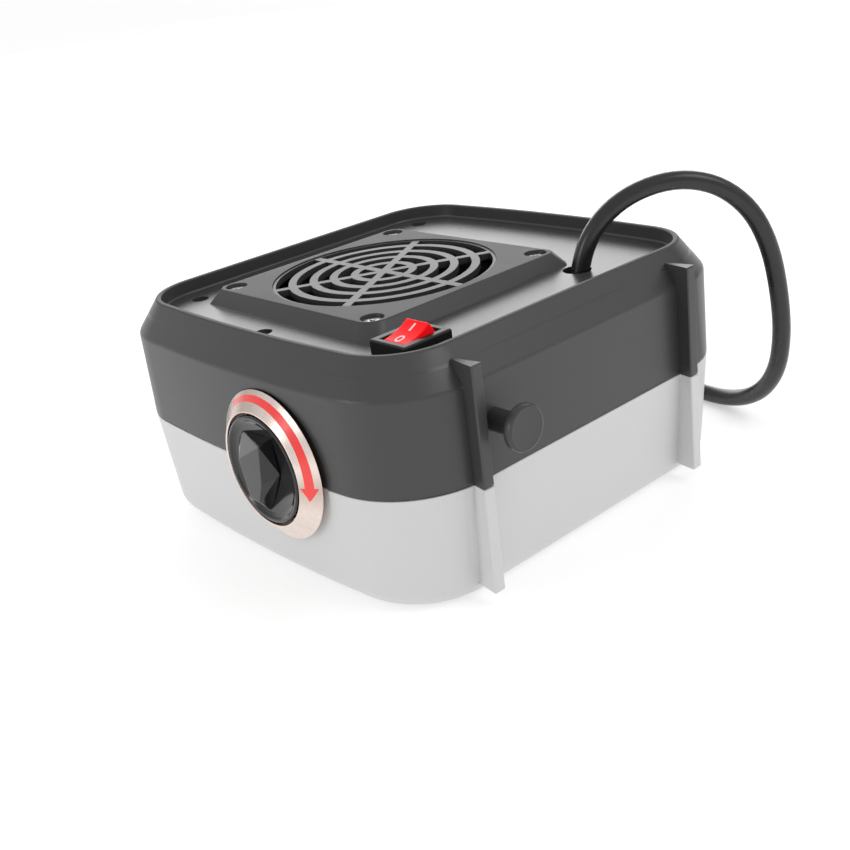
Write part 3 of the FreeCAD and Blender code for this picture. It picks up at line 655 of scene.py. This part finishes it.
# %% The peg
peg_low, peg_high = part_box("cord_peg")
peg_foot = Vector((peg_low.x, (peg_low.y + peg_high.y) / 2, (peg_low.z + peg_high.z) / 2))
REACH = (peg_high.x - peg_low.x) / MM
HEAD_R, NECK_R = (peg_high.y - peg_low.y) / 2 / MM, 3.9
peg_profile = [
    (0, 0), (NECK_R, 0), (NECK_R, REACH - 4.0), (NECK_R + 0.25, REACH - 3.3), (NECK_R + 0.9, REACH - 3.0),
    (HEAD_R - 0.7, REACH - 3.0), (HEAD_R - 0.2, REACH - 2.8), (HEAD_R, REACH - 2.3),
    (HEAD_R, REACH - 0.9), (HEAD_R - 0.25, REACH - 0.3), (HEAD_R - 0.8, REACH - 0.02),
    (HEAD_R - 1.3, REACH), (HEAD_R - 1.6, REACH - 0.12), (0, REACH - 0.12),
]
settle("winding_peg", turned(peg_profile, peg_foot, Vector((1, 0, 0)), 72), ["cord_peg"],
       peg_black, crease=28)

# %% [markdown]
# ## The rocker
#
# A rocker is a block with a hollowed top that tips about a pin. Its side outline is a
# face that we extrude to the rocker's width. The hollow is a shallow parabola, worked
# out by a formula, so its two pressing faces meet softly in the middle. The two marks
# are a separate white moulding set in the top: a bar and a ring, which mean on and off.

# %% The rocker's block
rocker_joint = next(j for j in frame["joints"] if j["name"] == "rocker_tilt")
ROCKER_PIVOT = Vector(rocker_joint["pos_m"])
ROCKER_TILT = math.radians(20)
HALF_WIDTH, HALF_TOP, VALLEY, RISE = 5.4, 5.9, 4.1, 0.8
to_place = Matrix.Translation(ROCKER_PIVOT) @ Matrix.Rotation(ROCKER_TILT, 4, "X")


def top_of_rocker(along):
    return VALLEY + RISE * (along / HALF_TOP) ** 2


TOP_STEPS = 10
top_line = [HALF_TOP * (2 * n / TOP_STEPS - 1) for n in range(TOP_STEPS + 1)]
underside = [(6.9, 0.2), (4.2, -3.0), (-4.2, -3.0), (-6.9, 0.2)]
outline = [(s, top_of_rocker(s)) for s in top_line] + underside
block = bmesh.new()
cheek = block.faces.new([block.verts.new(Vector((-HALF_WIDTH, s, t)) * MM) for s, t in outline])
grown = bmesh.ops.extrude_face_region(block, geom=[cheek])["geom"]
bmesh.ops.translate(block, vec=Vector((2 * HALF_WIDTH, 0, 0)) * MM,
                    verts=[g for g in grown if isinstance(g, bmesh.types.BMVert)])
bmesh.ops.recalc_face_normals(block, faces=block.faces)
round_edges(block, 0.4 * MM, segments=3, sharper_than=25)
bmesh.ops.transform(block, matrix=to_place, verts=block.verts)
settle("rocker", block, ["switch_rocker"], signal_red, crease=40)

# %% The rocker's marks
white_mark = plastic(Finish("white mark"), grey(0.85), grey(0.80), 0.35, grain=0.2)
MARK_THICK = 0.16


def on_rocker(bm, along):
    """Lay a flat mark, made round the origin, on the rocker's top at a distance along it."""
    slope = math.atan(2 * RISE * along / HALF_TOP ** 2)
    point = Vector((0, along, top_of_rocker(along))) * MM
    seat = Matrix.Translation(point) @ Matrix.Rotation(slope, 4, "X")
    bmesh.ops.transform(bm, matrix=to_place @ seat, verts=bm.verts)


BAR_WIDE, BAR_LONG, BAR_PLACE, RING_PLACE = 0.75, 3.4, 2.9, -3.3
bar = bmesh.new()
bmesh.ops.create_cube(bar, size=MM, matrix=Matrix.Diagonal((BAR_WIDE, BAR_LONG, MARK_THICK, 1)))
on_rocker(bar, BAR_PLACE)
settle("rocker_mark_on", bar, ["switch_rocker"], white_mark)
ring_profile = [(0.95, 0.5), (1.45, 0.5), (1.45, -0.5), (0.95, -0.5), (0.95, 0.5)]
ring = turned([(r, h * MARK_THICK) for r, h in ring_profile], Vector(), Vector((0, 0, 1)), 40)
bmesh.ops.scale(ring, vec=(1.0, 1.35, 1.0), verts=ring.verts)
on_rocker(ring, RING_PLACE)
settle("rocker_mark_off", ring, ["switch_rocker"], white_mark)

# %% [markdown]
# ## The plug, its tail and the coil's tie
# The plug is moulded on the lead. Its tail carries rings that let it bend, turned like
# the other round parts. The coil is held by a flat tie: a rounded block stretched round
# the bundle, with its two end faces taken away and the rest thickened into a band.

# %% Plug, tail rings and pins
softened("plug_shell", "plug_body", 1.0, cord_rubber, segments=3)
RING_COUNT, RING_STEP, FIRST_RING, TAIL_R, TAIL_GROWTH = 6, 3.4, 2.0, 4.6, 0.1
RING_SECTION = [(-0.6, -0.8), (0.45, -0.7), (0.6, 0.0), (0.45, 0.7), (-0.6, 0.8), (-0.6, -0.8)]
tail_rings = bmesh.new()
for number in range(RING_COUNT):
    along = FIRST_RING + number * RING_STEP
    r = TAIL_R + along * TAIL_GROWTH
    section = [(r + out, along + step) for out, step in RING_SECTION]
    one = turned(section, PLUG_TAIL, Vector((0, 1, 0)), 40)
    one_mesh = bpy.data.meshes.new("tail ring")
    one.to_mesh(one_mesh)
    one.free()
    tail_rings.from_mesh(one_mesh)
settle("plug_tail_rings", tail_rings, ["plug_body"], cord_rubber)
softened("plug_blades", "plug_pins", 0.3, brass)

# %% The coil's tie
BAND_WIDE, BAND_THICK = 9.0, 0.6
TIE_TURN = math.radians(35)
bundle = Vector((2 * LEAD_D / MM + 0.4, 0, 3 * LEAD_D / MM - 1.0))
band = bmesh.new()
bmesh.ops.create_cube(band, size=MM, matrix=Matrix.Diagonal((bundle.x, BAND_WIDE, bundle.z, 1)))
round_edges(band, 2.6 * MM, segments=5, chosen=lambda e: abs(e.verts[0].co.y - e.verts[1].co.y) > 0.001)
ends = [f for f in band.faces if abs(f.normal.y) > 0.9]
bmesh.ops.delete(band, geom=ends, context="FACES_ONLY")
bmesh.ops.recalc_face_normals(band, faces=band.faces)
bmesh.ops.solidify(band, geom=band.faces, thickness=-BAND_THICK * MM)
tie_seat = Matrix.Translation(COIL_CENTRE) @ Matrix.Rotation(TIE_TURN, 4, "Z")
mean_r = (OUTER_R + INNER_R) / 2
bmesh.ops.transform(band, matrix=tie_seat @ Matrix.Translation((mean_r, 0, 0.1 * MM)), verts=band.verts)
settle("coil_tie", band, ["cord_coil"], fan_black)

# %% [markdown]
# ## What is inside
#
# The parts inside keep the shapes they were drawn with. Each gets the finish of the
# stuff it is made of.

# %% Finishes of the inner parts
inner_finishes = {
    "glass_plate": glass_ceramic, "plate_seal": seal_rubber, "insulation_pan": insulation,
    "heating_element": heater_metal, "heat_limiter": ceramic, "heat_shield": sheet_steel,
    "shield_posts": sheet_steel, "board_standoffs": component_dark, "circuit_board": board_green,
    "board_screws": screw_steel, "power_parts": component_dark, "control_shaft": sheet_steel,
    "power_control": component_dark, "control_bracket": sheet_steel, "control_nut": screw_steel,
    "switch_tabs": brass, "peg_screw": screw_steel, "cord_clamp": component_dark,
    "inner_leads": lead_sleeve,
}
for node, finish in inner_finishes.items():
    mesh = frame["nodes"][node].data
    mesh.materials.clear()
    mesh.materials.append(finish)
print(len(inner_finishes), "inner parts finished")

# %% [markdown]
# ## Table and light
#
# A pale sheet and a few large soft lights make a plain product studio. Plastic shows
# its shape mostly by reflection, so each light is placed for what it does in the
# surfaces: a broad one behind for the recessed top, a small one in front for the dial,
# and one high on the right for the sloping edges. The sheet curves up far behind the
# object, and a weak glow of its own keeps it white.

# %% Table
table = bmesh.new()
bmesh.ops.create_grid(table, x_segments=60, y_segments=60, size=9)
BACKWARDS = Vector((-math.sin(AZIMUTH), math.cos(AZIMUTH), 0))
FLAT_PART, SWEEP, SWEEP_POWER = 4.0, 0.35, 1.5
for vertex in table.verts:
    past = max(0.0, vertex.co.dot(BACKWARDS) - FLAT_PART)
    vertex.co.z = SWEEP * past ** SWEEP_POWER
table_mesh = bpy.data.meshes.new("table")
table.to_mesh(table_mesh)
table.free()
sheet = Finish("lit white sheet")
weave = sheet.noise(40, detail=3)
paper = sheet.surface(Base_Color=sheet.mix(weave, grey(0.78), grey(0.80)), Roughness=0.8,
                      Emission_Color=grey(1.0), Emission_Strength=0.40)
table_mesh.materials.append(paper)
table_top = bpy.data.objects.new("table", table_mesh)
bpy.context.collection.objects.link(table_top)

# %% Lights
ROOM_GLOW = 0.70
world = bpy.data.worlds.new("studio")
world.use_nodes = True
world.node_tree.nodes["Background"].inputs["Color"].default_value = (1, 1, 1, 1)
world.node_tree.nodes["Background"].inputs["Strength"].default_value = ROOM_GLOW
bpy.context.scene.world = world
bpy.context.scene.view_settings.view_transform = "Standard"


def soft_light(name, place, towards, width, height, watts):
    data = bpy.data.lights.new(name, "AREA")
    data.shape = "RECTANGLE"
    data.size, data.size_y = width, height
    data.energy = watts
    made = bpy.data.objects.new(name, data)
    bpy.context.collection.objects.link(made)
    facing = (Vector(towards) - Vector(place)).to_track_quat("-Z", "Y")
    made.matrix_world = Matrix.Translation(place) @ facing.to_matrix().to_4x4()
    return made


HEART = (0, 0, 0.06)
soft_light("front", (-0.30, -1.3, 0.45), HEART, 0.38, 0.34, 2.2)
soft_light("backdrop", (-1.9, 1.6, 0.95), HEART, 3.0, 1.5, 27)
soft_light("high right", (1.1, 0.5, 1.3), HEART, 0.8, 0.8, 5)
print("studio ready")
